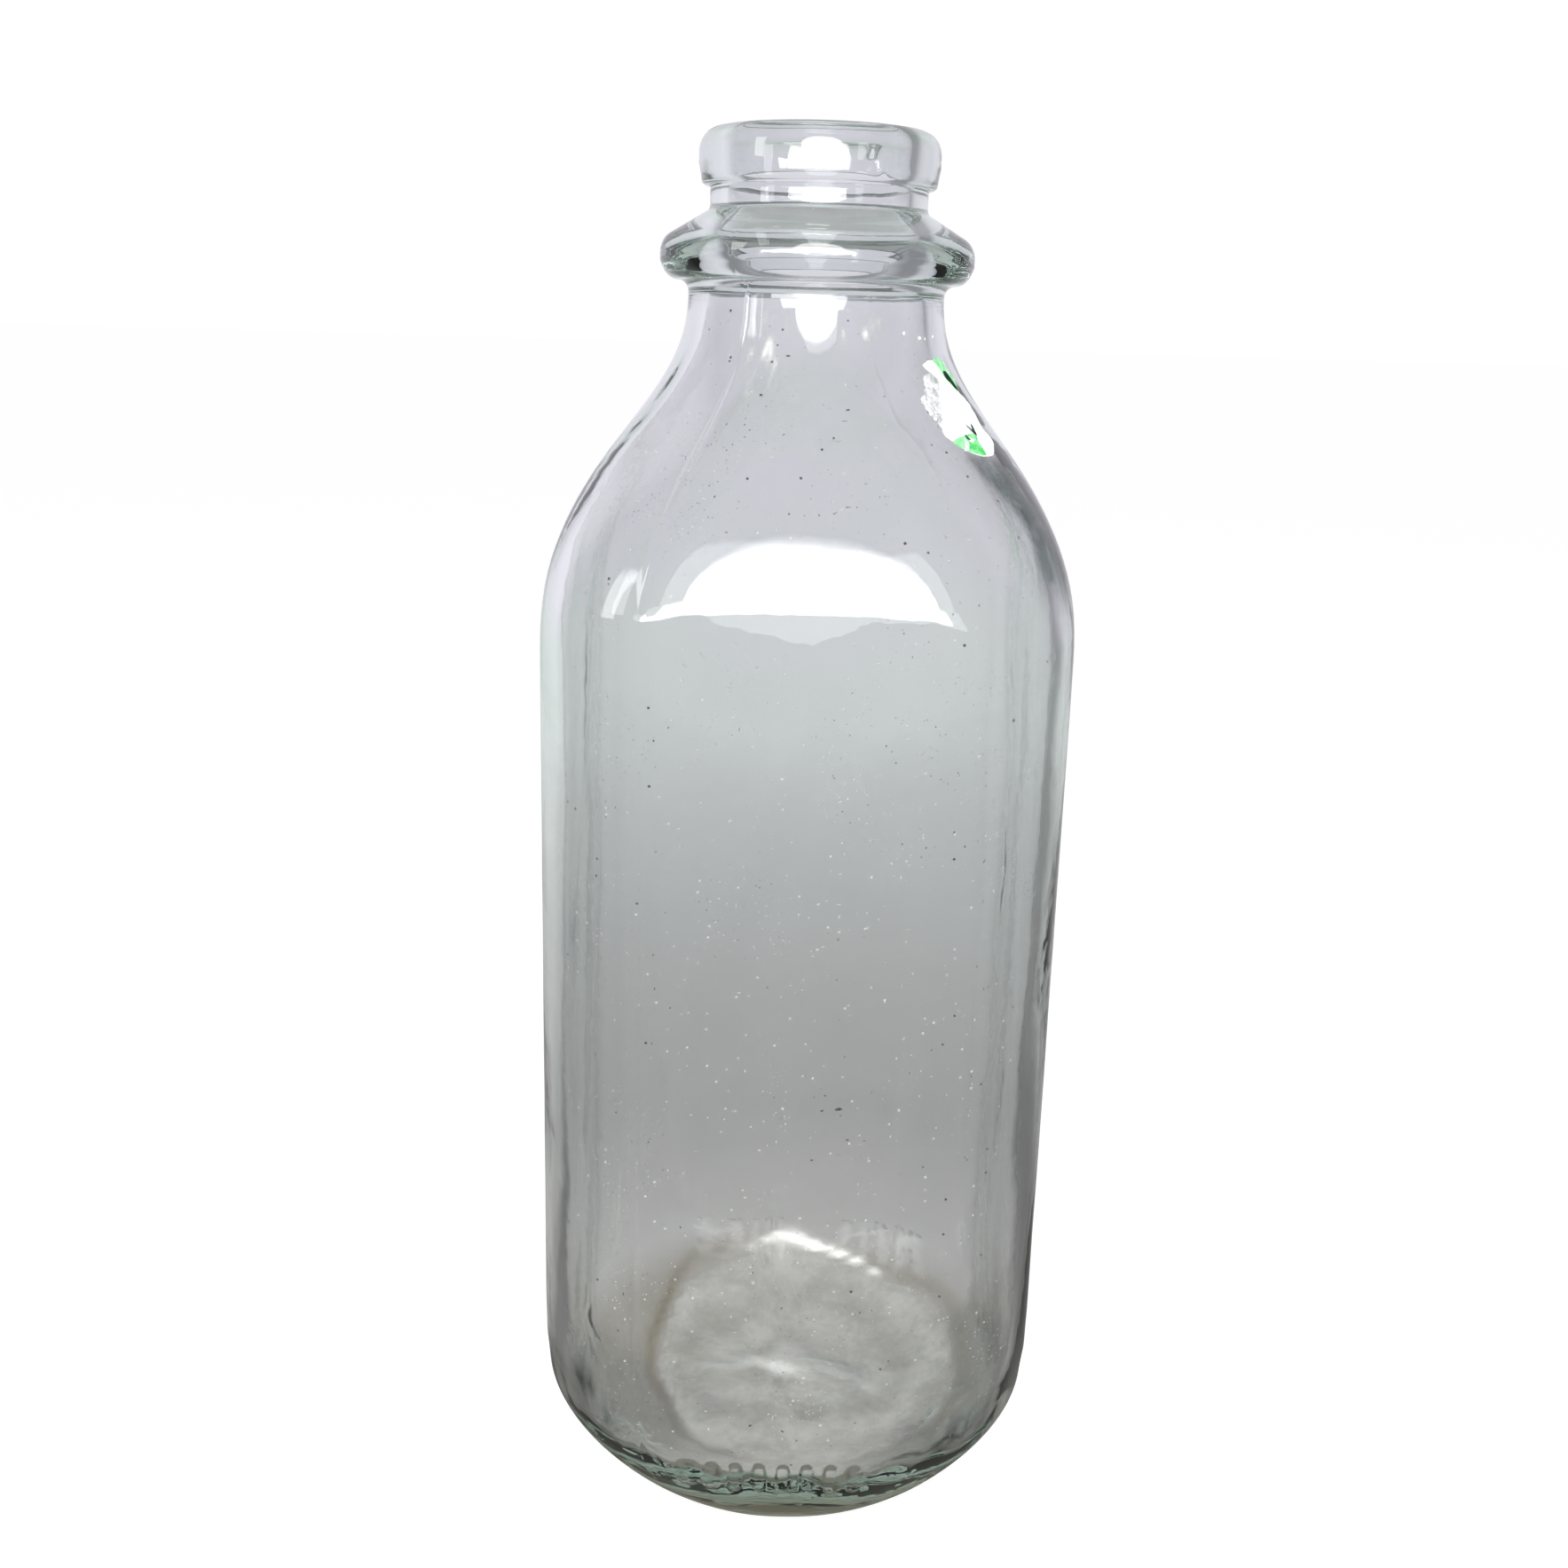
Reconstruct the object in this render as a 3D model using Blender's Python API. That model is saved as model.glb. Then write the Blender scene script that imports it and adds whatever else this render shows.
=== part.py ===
"""A half-gallon square milk bottle in clear pressed and blown glass.

One thick glass body: a square with rounded corners that turns round at the heel and again at the
shoulder, a short neck with a heavy carrying collar, and a lip for a 48 mm snap cap. What is left of
a torn paper sticker clings to the shoulder: its white inner ply, and two scraps of its printed face.

Metres, +Z up. The origin is the centre of the ring that the bottle stands on, with -Y to the front.
"""
import math

import bmesh
import bpy
from mathutils import Matrix, Vector

MM = 0.001

# The body, all in millimetres
BODY_HALF = 53.0            # half of the width across the flats
CORNER_RADIUS = 28.8        # in plan, where the sides are straight
SIDE_WALL = 3.8
SHOULDER_START = 195.3
SQUARE_BELOW = 203.7        # the plan keeps its squareness up to here ...
ROUND_ABOVE = 257.3         # ... and is a circle from here up
BASE_BLEND_TOP = 49.3       # under this height the corners begin to round off to the base

# The heel and the base
HEEL_REACH = 30.0           # how far in the heel's curve comes, as an ellipse
HEEL_DROP = 33.8
HEEL_TOP = 32.9
STAND_OUTER = 30.0          # the flat ring that touches the table
STAND_INNER = 26.5
PUSH_UP = 4.0               # the hollow under the base
FLOOR_CENTRE = 10.5
INNER_HEEL_REACH = 26.0
INNER_HEEL_DROP = 23.5
INNER_HEEL_TOP = 32.0

# The neck, collar and lip
NECK_HALF = 25.9            # the lower neck, where the shoulder ends
NECK_START = 263.4
SHOULDER_PULL = 37.9        # handle lengths of the shoulder's curve
NECK_PULL = 23.6
COLLAR_RADIUS = 31.7
COLLAR_HEIGHT = 271.1       # its widest place
COLLAR_ROUND = 3.5          # the rim's rounding, sideways
COLLAR_UNDER = 5.0
COLLAR_OVER = 4.3
COLLAR_SLOPE = 66.7         # degrees round the rim where the sloping top begins
NECK_FILLET_GAP = 0.4       # straight neck left between the shoulder and the collar's fillet
COLLAR_FILLET = 1.5
UPPER_NECK_HALF = 21.8
UPPER_NECK_START = 280.5
SKIRT_BOTTOM = 284.3
SKIRT_HALF = 23.5
SKIRT_EDGE = 0.8            # rounding of the skirt's lower edge
UNDERCUT_FILLET = 0.6
LIP_HALF = 24.1
LIP_STRAIGHT = 288.3
LIP_CROWN_START = 290.5
LIP_TOP = 295.0
SEAL_OUTER = 20.2           # the flat sealing face on the lip
SEAL_INNER = 19.2
BORE_HALF = 18.2
BORE_BOTTOM = 279.7
BORE_PULL = 7.0
INNER_NECK_HALF = 21.7
INNER_NECK_TOP = 264.4

# Raised beading on the front and back of the heel, in place of the maker's lettering
BEAD_HEIGHT = 22.5
BEAD_PITCH = 5.0
BEAD_SIZE = (1.7, 1.1, 4.4)     # half sizes of one upright bead
FRONT_BEADS = range(-4, 4)      # columns, one pitch apart
BACK_BEADS = (-7, -6, -5, -4, -3, 0, 1, 2, 3, 4)

# The torn sticker, on the right of the front shoulder
STICKER_GAP = 0.3               # clear of the glass, and of the ply below
PLY_THICKNESS = 0.25
PLY_COLUMNS = 7
# rows of one ply: height, then where it starts and ends, in degrees round from the front
PAPER_ROWS = (
    (234.3, 48.5, 56.0),
    (235.6, 43.5, 60.5),
    (237.6, 39.5, 62.5),
    (239.8, 40.0, 62.5),
    (242.0, 40.5, 63.0),
    (244.4, 39.0, 65.0),
    (246.2, 43.5, 62.5),
    (248.2, 44.0, 64.5),
    (250.0, 46.5, 64.5),
    (251.4, 48.5, 60.0),
)
TOP_SCRAP_ROWS = (
    (246.4, 60.5, 62.0),
    (248.0, 58.5, 63.0),
    (249.6, 55.5, 63.0),
    (251.0, 52.5, 58.5),
)
BOTTOM_SCRAP_ROWS = (
    (235.0, 47.0, 51.5),
    (236.0, 43.5, 53.5),
    (237.2, 44.0, 54.0),
    (238.6, 49.0, 53.5),
)

SIDES = 48                  # points round each ring of glass


def clear_scene():
    for item in list(bpy.data.objects):
        bpy.data.objects.remove(item, do_unlink=True)


def smooth(t):
    """0 to 1 with flat ends."""
    t = min(max(t, 0.0), 1.0)
    return t * t * (3.0 - 2.0 * t)


def roundness(height):
    """0 where the plan is squarest, 1 where it is a circle."""
    up = (height - SQUARE_BELOW) / (ROUND_ABOVE - SQUARE_BELOW)
    down = (BASE_BLEND_TOP - height) / BASE_BLEND_TOP
    return max(smooth(up), smooth(down))


def arc(centre, reach, drop, start, end, steps):
    """Points on an ellipse in the (half width, height) plane, from start to end degrees."""
    points = []
    for i in range(steps + 1):
        angle = math.radians(start + (end - start) * i / steps)
        points.append((centre[0] + reach * math.cos(angle), centre[1] + drop * math.sin(angle)))
    return points


def bezier(p0, p1, p2, p3, steps):
    points = []
    for i in range(steps + 1):
        t = i / steps
        weights = ((1 - t) ** 3, 3 * t * (1 - t) ** 2, 3 * t * t * (1 - t), t ** 3)
        points.append(tuple(
            sum(w * p[axis] for w, p in zip(weights, (p0, p1, p2, p3))) for axis in (0, 1)
        ))
    return points


def shoulder(steps):
    """The S from the straight side in to the lower neck."""
    return bezier(
        (BODY_HALF, SHOULDER_START),
        (BODY_HALF, SHOULDER_START + SHOULDER_PULL),
        (NECK_HALF, NECK_START - NECK_PULL),
        (NECK_HALF, NECK_START),
        steps,
    )


def offset_inwards(points, distance):
    """The same line, moved by distance along its normal, towards the axis and down."""
    moved = []
    for i, (half, height) in enumerate(points):
        before = points[max(i - 1, 0)]
        after = points[min(i + 1, len(points) - 1)]
        along = Vector((after[0] - before[0], after[1] - before[1])).normalized()
        moved.append((half - distance * along.y, height + distance * along.x))
    return moved


def underside():
    """The hollow under the base, from its middle out to the ring that touches the table."""
    points = []
    for share in (0.0, 0.4, 0.75, 1.0):
        points.append((STAND_INNER * share, PUSH_UP * (1 - share ** 2)))
    return points


def outer_heel():
    """A quarter ellipse, cut where it meets the standing ring."""
    centre = (BODY_HALF - HEEL_REACH, HEEL_TOP)
    first = -math.degrees(math.acos((STAND_OUTER - centre[0]) / HEEL_REACH))
    points = arc(centre, HEEL_REACH, HEEL_DROP, first, 0.0, 9)
    points[0] = (STAND_OUTER, 0.0)
    return points


def collar():
    """A fillet off the lower neck, a rounded rim, a sloping top and a fillet into the upper neck."""
    rim = (COLLAR_RADIUS - COLLAR_ROUND, COLLAR_HEIGHT)
    under = COLLAR_HEIGHT - COLLAR_UNDER
    fillet = under - NECK_START - NECK_FILLET_GAP
    points = arc((rim[0], under - fillet), rim[0] - NECK_HALF, fillet, 180.0, 90.0, 3)[:-1]
    points += arc(rim, COLLAR_ROUND, COLLAR_UNDER, -90.0, 0.0, 5)
    points += arc(rim, COLLAR_ROUND, COLLAR_OVER, 0.0, COLLAR_SLOPE, 3)[1:]
    corner = (UPPER_NECK_HALF + COLLAR_FILLET, UPPER_NECK_START)
    points += arc(corner, COLLAR_FILLET, COLLAR_FILLET, 180.0 + COLLAR_SLOPE, 180.0, 2)
    return points


def lip():
    """The upper neck, the skirt that the cap grips, and the rounded crown up to the sealing face."""
    points = [(UPPER_NECK_HALF, SKIRT_BOTTOM - UNDERCUT_FILLET)]
    points.append((UPPER_NECK_HALF + UNDERCUT_FILLET, SKIRT_BOTTOM))
    edge = (SKIRT_HALF - SKIRT_EDGE, SKIRT_BOTTOM + SKIRT_EDGE)
    points += arc(edge, SKIRT_EDGE, SKIRT_EDGE, -90.0, 0.0, 2)
    points.append((LIP_HALF, LIP_STRAIGHT))
    crown = (SEAL_OUTER, LIP_CROWN_START)
    points += arc(crown, LIP_HALF - SEAL_OUTER, LIP_TOP - LIP_CROWN_START, 0.0, 90.0, 5)
    return points


def outside_profile():
    """From the middle of the underside, out and up to the sealing face."""
    return underside() + outer_heel() + [(BODY_HALF, BASE_BLEND_TOP)] + shoulder(12) + collar() + lip()


def inside_profile():
    """From the sealing face down the bore to the middle of the floor."""
    edge = SEAL_INNER - BORE_HALF
    points = arc((SEAL_INNER, LIP_TOP - edge), edge, edge, 90.0, 180.0, 3)
    points += bezier(
        (BORE_HALF, BORE_BOTTOM),
        (BORE_HALF, BORE_BOTTOM - BORE_PULL),
        (INNER_NECK_HALF, INNER_NECK_TOP + BORE_PULL),
        (INNER_NECK_HALF, INNER_NECK_TOP),
        5,
    )
    inner = offset_inwards(shoulder(10), SIDE_WALL)
    points += list(reversed(inner[:-1]))
    inner_half = BODY_HALF - SIDE_WALL
    points.append((inner_half, BASE_BLEND_TOP))
    centre = (inner_half - INNER_HEEL_REACH, INNER_HEEL_TOP)
    points += arc(centre, INNER_HEEL_REACH, INNER_HEEL_DROP, 0.0, -90.0, 8)
    rise = FLOOR_CENTRE - (INNER_HEEL_TOP - INNER_HEEL_DROP)
    for share in (0.55, 0.0):
        points.append((centre[0] * share, FLOOR_CENTRE - rise * share ** 2))
    return points


def plan_reach(half, corner, angle):
    """How far a square with rounded corners reaches at an angle from its centre."""
    angle = angle % (math.pi / 2)
    angle = min(angle, math.pi / 2 - angle)
    flat = half - corner
    if half * math.tan(angle) <= flat:
        return half / math.cos(angle)
    towards = flat * (math.cos(angle) + math.sin(angle))
    return towards + math.sqrt(towards ** 2 - 2 * flat ** 2 + corner ** 2)


def ring_points(half, height, squarest):
    """One ring of glass. squarest is its corner radius over its half width when roundness is 0."""
    corner = half * (squarest + (1 - squarest) * roundness(height))
    for i in range(SIDES):
        angle = 2 * math.pi * i / SIDES
        reach = plan_reach(half, corner, angle)
        yield Vector((reach * math.cos(angle), reach * math.sin(angle), height)) * MM


def make_glass_mesh():
    mesh = bmesh.new()
    outer_ratio = CORNER_RADIUS / BODY_HALF
    inner_ratio = (CORNER_RADIUS - SIDE_WALL) / (BODY_HALF - SIDE_WALL)
    stations = [(p, outer_ratio) for p in outside_profile()]
    stations += [(p, inner_ratio) for p in inside_profile()]
    loops = []
    for (half, height), ratio in stations:
        if half == 0.0:
            loops.append([mesh.verts.new((0.0, 0.0, height * MM))])
        else:
            loops.append([mesh.verts.new(p) for p in ring_points(half, height, ratio)])
    for lower, upper in zip(loops, loops[1:]):
        for i in range(SIDES):
            j = (i + 1) % SIDES
            corners = [lower[i % len(lower)], lower[j % len(lower)]]
            corners += [upper[j % len(upper)], upper[i % len(upper)]]
            mesh.faces.new(list(dict.fromkeys(corners)))
    bmesh.ops.remove_doubles(mesh, verts=mesh.verts, dist=1e-7)
    bmesh.ops.recalc_face_normals(mesh, faces=mesh.faces)
    return mesh


def heel_face(across, height):
    """Where the outside of the heel is at a place across the front, its turn and its tilt."""
    share = (HEEL_TOP - height) / HEEL_DROP
    half = BODY_HALF - HEEL_REACH * (1 - math.sqrt(1 - share ** 2))
    ratio = CORNER_RADIUS / BODY_HALF
    corner = half * (ratio + (1 - ratio) * roundness(height))
    past = max(abs(across) - (half - corner), 0.0)
    turn = math.copysign(math.asin(past / corner), across)
    depth = half - corner + math.sqrt(corner ** 2 - past ** 2)
    tilt = math.atan2(share / HEEL_DROP, math.sqrt(1 - share ** 2) / HEEL_REACH)
    return depth, turn, tilt


def add_bead(mesh, across, facing):
    """One upright raised bead, half sunk in the heel. facing turns it to the front or the back."""
    depth, turn, tilt = heel_face(across, BEAD_HEIGHT)
    place = Matrix.Translation(Vector((across, -depth, BEAD_HEIGHT)) * MM)
    lean = Matrix.Rotation(turn, 4, "Z") @ Matrix.Rotation(tilt, 4, "X")
    size = Matrix.Diagonal((*(s * MM for s in BEAD_SIZE), 1.0))
    whole = Matrix.Rotation(facing, 4, "Z") @ place @ lean @ size
    bmesh.ops.create_uvsphere(mesh, u_segments=8, v_segments=6, radius=1.0, matrix=whole)


def glass_reach(height, degrees):
    """The outside of the shoulder: how far it reaches at a height, degrees round from the front."""
    line = shoulder(200)
    for (half_a, low), (half_b, high) in zip(line, line[1:]):
        if low <= height <= high:
            half = half_a + (half_b - half_a) * (height - low) / (high - low)
            ratio = CORNER_RADIUS / BODY_HALF
            corner = half * (ratio + (1 - ratio) * roundness(height))
            return plan_reach(half, corner, math.radians(degrees))
    raise ValueError("the height is not on the shoulder")


def shoulder_point(height, degrees, lift):
    """A point lifted off the shoulder along its normal."""
    def at(h, d):
        reach = glass_reach(h, d)
        turn = math.radians(d)
        return Vector((reach * math.sin(turn), -reach * math.cos(turn), h))
    step = 0.05
    upwards = at(height + step, degrees) - at(height - step, degrees)
    around = at(height, degrees + step) - at(height, degrees - step)
    return at(height, degrees) + around.cross(upwards).normalized() * lift


def make_ply_mesh(rows, lift):
    """A thin curved sheet over the shoulder, closed round its edge."""
    mesh = bmesh.new()
    faces = []
    for height_off in (lift, lift + PLY_THICKNESS):
        grid = []
        for height, start, end in rows:
            step = (end - start) / PLY_COLUMNS
            line = [start + step * i for i in range(PLY_COLUMNS + 1)]
            grid.append([mesh.verts.new(shoulder_point(height, d, height_off) * MM) for d in line])
        faces.append(grid)
    under, over = faces
    for low, high in ((under, under), (over, over)):
        for r in range(len(rows) - 1):
            for c in range(PLY_COLUMNS):
                mesh.faces.new((low[r][c], low[r][c + 1], high[r + 1][c + 1], high[r + 1][c]))
    edge = [(0, c) for c in range(PLY_COLUMNS)]
    edge += [(r, PLY_COLUMNS) for r in range(len(rows) - 1)]
    edge += [(len(rows) - 1, c) for c in range(PLY_COLUMNS, 0, -1)]
    edge += [(r, 0) for r in range(len(rows) - 1, 0, -1)]
    for (r0, c0), (r1, c1) in zip(edge, edge[1:] + edge[:1]):
        mesh.faces.new((under[r0][c0], under[r1][c1], over[r1][c1], over[r0][c0]))
    bmesh.ops.recalc_face_normals(mesh, faces=mesh.faces)
    return mesh


def finish_object(name, mesh, material):
    data = bpy.data.meshes.new(name)
    mesh.to_mesh(data)
    mesh.free()
    data.materials.append(material)
    data.shade_smooth()
    data.set_sharp_from_angle(angle=math.radians(35))
    thing = bpy.data.objects.new(name, data)
    bpy.context.scene.collection.objects.link(thing)
    return thing


def make_material(name, colour, roughness_value, metallic=0.0, transmission=0.0):
    material = bpy.data.materials.new(name)
    material.use_nodes = True
    shader = material.node_tree.nodes["Principled BSDF"]
    shader.inputs["Base Color"].default_value = (*colour, 1.0)
    shader.inputs["Roughness"].default_value = roughness_value
    shader.inputs["Metallic"].default_value = metallic
    shader.inputs["Transmission Weight"].default_value = transmission
    return material


def make_bottle(material):
    """The glass body, with the raised beading joined to its heel."""
    bottle = finish_object("bottle_glass", make_glass_mesh(), material)
    beads = bmesh.new()
    for columns, facing in ((FRONT_BEADS, 0.0), (BACK_BEADS, math.pi)):
        for column in columns:
            add_bead(beads, column * BEAD_PITCH, facing)
    beading = finish_object("beading_guide", beads, material)
    beading.hide_render = True
    beading.display_type = "WIRE"
    join = bottle.modifiers.new("beading", "BOOLEAN")
    join.operation = "UNION"
    join.solver = "EXACT"
    join.object = beading
    return bottle


def main():
    clear_scene()
    glass = make_material("clear_glass", (0.86, 0.92, 0.88), 0.03, transmission=1.0)
    paper = make_material("white_paper", (0.90, 0.90, 0.87), 0.85)
    print_ink = make_material("green_print", (0.13, 0.62, 0.20), 0.5)
    make_bottle(glass)
    finish_object("sticker_paper", make_ply_mesh(PAPER_ROWS, STICKER_GAP), paper)
    print_lift = 2 * STICKER_GAP + PLY_THICKNESS
    finish_object("sticker_print_top", make_ply_mesh(TOP_SCRAP_ROWS, print_lift), print_ink)
    finish_object("sticker_print_bottom", make_ply_mesh(BOTTOM_SCRAP_ROWS, print_lift), print_ink)


main()
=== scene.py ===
# %% [markdown]
# # A square half-gallon milk bottle
# The bottle is one piece of pressed and blown glass, with the remains of a torn paper sticker on its
# shoulder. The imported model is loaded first, as a fixed frame: it says how big everything is and
# where it stands. All the looks are then built round it, in metres, in the same place.

# %% Load the frame
import math

import bpy
import numpy as np
from mathutils import Matrix


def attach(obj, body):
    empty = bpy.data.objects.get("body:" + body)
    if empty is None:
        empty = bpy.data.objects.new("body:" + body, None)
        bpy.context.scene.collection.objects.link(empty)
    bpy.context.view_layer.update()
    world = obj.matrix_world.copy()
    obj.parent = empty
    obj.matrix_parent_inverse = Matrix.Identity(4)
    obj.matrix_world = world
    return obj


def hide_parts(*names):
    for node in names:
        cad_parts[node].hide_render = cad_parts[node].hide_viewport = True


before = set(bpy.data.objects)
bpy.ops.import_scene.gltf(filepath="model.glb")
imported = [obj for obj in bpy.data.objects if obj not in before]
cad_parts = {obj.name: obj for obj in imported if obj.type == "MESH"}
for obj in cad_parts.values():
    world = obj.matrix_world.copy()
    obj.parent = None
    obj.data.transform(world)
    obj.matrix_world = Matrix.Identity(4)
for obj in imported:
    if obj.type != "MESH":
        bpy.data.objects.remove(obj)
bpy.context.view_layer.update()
MM = 0.001

# %% [markdown]
# ## The camera
# A bottle held up in front of the eye is seen from a little above its neck, and from close by, so
# its base looks narrower than its shoulder. A lens of about 40 mm, a third of a metre away, tilted
# down by 15 degrees and turned a little in the hand gives the same view.

# %% Camera
EYE = (-3.742, -362.26, 258.42)         # millimetres
DOWN, ROLL = 15.070, 1.595              # degrees
LENS = 39.43

eye = bpy.data.cameras.new("eye")
eye.lens, eye.sensor_width, eye.clip_start = LENS, 36.0, 0.01
camera = bpy.data.objects.new("eye", eye)
bpy.context.scene.collection.objects.link(camera)
camera.matrix_world = (
    Matrix.Translation([v * MM for v in EYE])
    @ Matrix.Rotation(math.radians(90 - DOWN), 4, "X")
    @ Matrix.Rotation(math.radians(ROLL), 4, "Z")
)
bpy.context.scene.camera = camera
print("camera at", [round(v * MM, 4) for v in EYE])

# %% [markdown]
# ## Curves in one plane
# Glass is turned and pressed, so its section is a short list of curves: arcs, ellipses and one long
# S for the shoulder. Each is worked out here as two arrays, how far out and how high, in millimetres.

# %% Section curves
def smooth(t):
    """0 to 1 with flat ends: 3 t squared less 2 t cubed."""
    t = np.clip(t, 0.0, 1.0)
    return t * t * (3.0 - 2.0 * t)


def between(value, low, rise, high, fall):
    """0 outside low to high: it rises from low to 1 over rise, and falls over fall to 0 at high."""
    return smooth((value - low) / rise) * smooth((high - value) / fall)


def hump(value, middle, width):
    """exp(-((value - middle) / width)^2): 1 in the middle, about a third one width away."""
    return np.exp(-((value - middle) / width) ** 2)


def arc(centre, reach, drop, start, end, steps):
    """An ellipse's arc: centre + (reach cos a, drop sin a), a from start to end degrees."""
    a = np.radians(np.linspace(start, end, steps))
    return np.stack([centre[0] + reach * np.cos(a), centre[1] + drop * np.sin(a)], axis=1)


def line(start, end, steps):
    """A straight line, with its two ends."""
    t = np.linspace(0.0, 1.0, steps)[:, None]
    return (1 - t) * np.array(start) + t * np.array(end)


def bezier(p0, p1, p2, p3, steps):
    """A cubic: (1-t)^3 p0 + 3t(1-t)^2 p1 + 3t^2(1-t) p2 + t^3 p3."""
    t = np.linspace(0.0, 1.0, steps)[:, None]
    p0, p1, p2, p3 = map(np.array, (p0, p1, p2, p3))
    return (1 - t) ** 3 * p0 + 3 * t * (1 - t) ** 2 * p1 + 3 * t * t * (1 - t) * p2 + t ** 3 * p3


print("smooth half way:", float(smooth(0.5)), "a width out of a hump:", round(float(hump(1, 0, 1)), 3))

# %% [markdown]
# ## The section of the bottle
# Outside, it runs from the hollow under the base, round the heel, up the flat side, in over the
# shoulder, round the carrying collar and up to the lip. Inside, it comes back down the bore to the
# floor. The wall is 3.8 mm thick in the body and much thicker in the heel, collar and lip.

# %% Sizes and section
BODY_HALF, CORNER_RADIUS, SIDE_WALL = 53.0, 28.8, 3.8
SHOULDER_START, SQUARE_BELOW, ROUND_ABOVE, BASE_BLEND_TOP = 195.3, 203.7, 257.3, 49.3
HEEL_REACH, HEEL_DROP, HEEL_TOP = 30.0, 33.8, 32.9
STAND_OUTER, STAND_INNER, PUSH_UP = 30.0, 26.5, 4.0
INNER_HEEL_REACH, INNER_HEEL_DROP, INNER_HEEL_TOP, FLOOR_CENTRE = 26.0, 23.5, 32.0, 10.5
NECK_HALF, NECK_START, SHOULDER_PULL, NECK_PULL = 25.9, 263.4, 37.9, 23.6
COLLAR_RADIUS, COLLAR_HEIGHT, COLLAR_ROUND, COLLAR_UNDER, COLLAR_OVER = 31.7, 271.1, 3.5, 5.0, 4.3
COLLAR_SLOPE, NECK_FILLET_GAP, COLLAR_FILLET = 66.7, 0.4, 1.5
UPPER_NECK_HALF, UPPER_NECK_START = 21.8, 280.5
SKIRT_BOTTOM, SKIRT_HALF, SKIRT_EDGE, UNDERCUT_FILLET = 284.3, 23.5, 0.8, 0.6
LIP_HALF, LIP_STRAIGHT, LIP_CROWN_START, LIP_TOP = 24.1, 288.3, 290.5, 295.0
SEAL_OUTER, SEAL_INNER, BORE_HALF, BORE_BOTTOM, BORE_PULL = 20.2, 19.2, 18.2, 279.7, 7.0
INNER_NECK_HALF, INNER_NECK_TOP = 21.7, 264.4


def shoulder(steps):
    """The S from the flat side in to the lower neck."""
    return bezier(
        (BODY_HALF, SHOULDER_START), (BODY_HALF, SHOULDER_START + SHOULDER_PULL),
        (NECK_HALF, NECK_START - NECK_PULL), (NECK_HALF, NECK_START), steps,
    )


def outside_section():
    """The outside, from the middle of the underside to the sealing face on the lip."""
    share = np.linspace(0.0, 1.0, 9)
    underside = np.stack([STAND_INNER * share, PUSH_UP * (1 - share ** 2)], axis=1)
    heel_centre = (BODY_HALF - HEEL_REACH, HEEL_TOP)
    first = -math.degrees(math.acos((STAND_OUTER - heel_centre[0]) / HEEL_REACH))
    heel = arc(heel_centre, HEEL_REACH, HEEL_DROP, first, 0.0, 64)
    heel[0] = (STAND_OUTER, 0.0)
    side = line((BODY_HALF, HEEL_TOP), (BODY_HALF, SHOULDER_START), 18)[1:-1]
    rim = (COLLAR_RADIUS - COLLAR_ROUND, COLLAR_HEIGHT)
    under = COLLAR_HEIGHT - COLLAR_UNDER
    fillet = under - NECK_START - NECK_FILLET_GAP
    corner = (UPPER_NECK_HALF + COLLAR_FILLET, UPPER_NECK_START)
    edge = (SKIRT_HALF - SKIRT_EDGE, SKIRT_BOTTOM + SKIRT_EDGE)
    return np.concatenate([
        underside, heel, side, shoulder(36),
        arc((rim[0], under - fillet), rim[0] - NECK_HALF, fillet, 180.0, 95.0, 6),
        arc(rim, COLLAR_ROUND, COLLAR_UNDER, -88.0, 0.0, 12),
        arc(rim, COLLAR_ROUND, COLLAR_OVER, 7.0, COLLAR_SLOPE, 8),
        arc(corner, COLLAR_FILLET, COLLAR_FILLET, 180.0 + COLLAR_SLOPE, 180.0, 6),
        line((UPPER_NECK_HALF, UPPER_NECK_START + 0.5),
             (UPPER_NECK_HALF, SKIRT_BOTTOM - UNDERCUT_FILLET), 4),
        line((UPPER_NECK_HALF + 0.2, SKIRT_BOTTOM - 0.2),
             (UPPER_NECK_HALF + UNDERCUT_FILLET, SKIRT_BOTTOM), 2),
        arc(edge, SKIRT_EDGE, SKIRT_EDGE, -90.0, 0.0, 5),
        line((SKIRT_HALF + 0.15, SKIRT_BOTTOM + 1.8), (LIP_HALF, LIP_STRAIGHT), 4),
        arc((SEAL_OUTER, LIP_CROWN_START), LIP_HALF - SEAL_OUTER, LIP_TOP - LIP_CROWN_START,
            0.0, 90.0, 13),
    ])


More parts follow.
